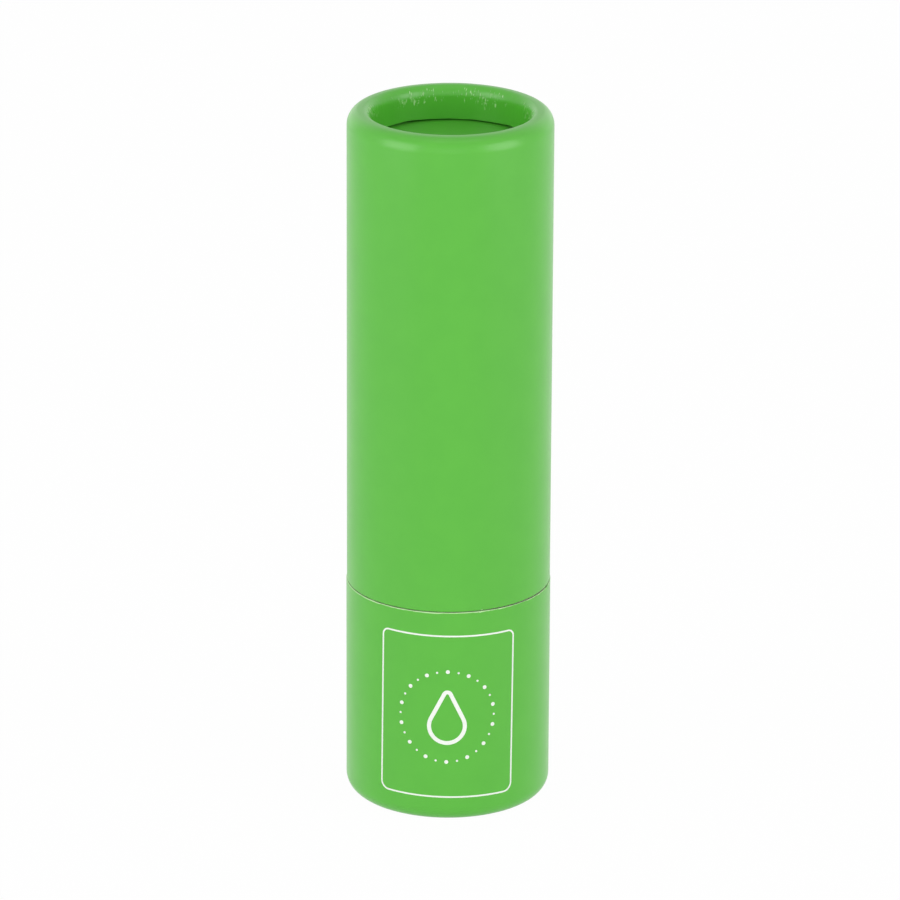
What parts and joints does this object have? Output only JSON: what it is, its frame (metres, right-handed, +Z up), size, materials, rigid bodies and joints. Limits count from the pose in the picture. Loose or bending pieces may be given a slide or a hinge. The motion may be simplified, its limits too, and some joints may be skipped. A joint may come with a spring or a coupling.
{
  "type": "lip balm stick",
  "caption": "Twist-up lip balm stick: a paper tube with rolled ends, a pull-off cap, and a base that turns a lead screw to raise the balm.",
  "frame": {"origin": "centre of the flat ring that the base stands on", "axes": "+Z up along the stick, towards the cap; -Y is the side that the picture shows"},
  "size_m": [0.02, 0.02, 0.0695],
  "materials": {
    "printed_paper": "green printed paper with a satin film",
    "white_ink": "white ink under the satin film, used by the visual model's printed panel only",
    "board": "white wound paperboard, raw at its cut edges",
    "liner": "greaseproof liner paper",
    "neck_paper": "smooth white calendered paper",
    "moulding": "natural white polypropylene, fine satin",
    "balm": "ivory wax balm with a soft sheen"
  },
  "bodies": {
    "base": {"base_board": "board", "base_wrap": "printed_paper", "base_liner": "liner", "base_disc": "board", "base_disc_facing": "printed_paper", "drive_screw": "moulding"},
    "neck": {"barrel": "moulding", "neck_board": "board", "neck_ply": "neck_paper"},
    "carrier": {"elevator": "moulding", "balm": "balm"},
    "cap": {"cap_board": "board", "cap_wrap": "printed_paper", "cap_liner": "liner", "cap_disc": "board", "cap_disc_facing": "printed_paper"}
  },
  "joints": [
    {"name": "twist", "type": "hinge", "parent": "base", "child": "neck", "pos_m": [0, 0, 0], "axis": [0, 0, 1], "range_deg": [0, 1656]},
    {"name": "balm_lift", "type": "slide", "parent": "neck", "child": "carrier", "axis": [0, 0, 1], "range_m": [0, 0.023]},
    {"name": "cap_pull", "type": "slide", "parent": "neck", "child": "cap", "axis": [0, 0, 1], "range_m": [0, 0.055]}
  ],
  "couplings": [
    {"joint": "balm_lift", "follows": "twist", "m_per_rad": 0.00079577}
  ]
}
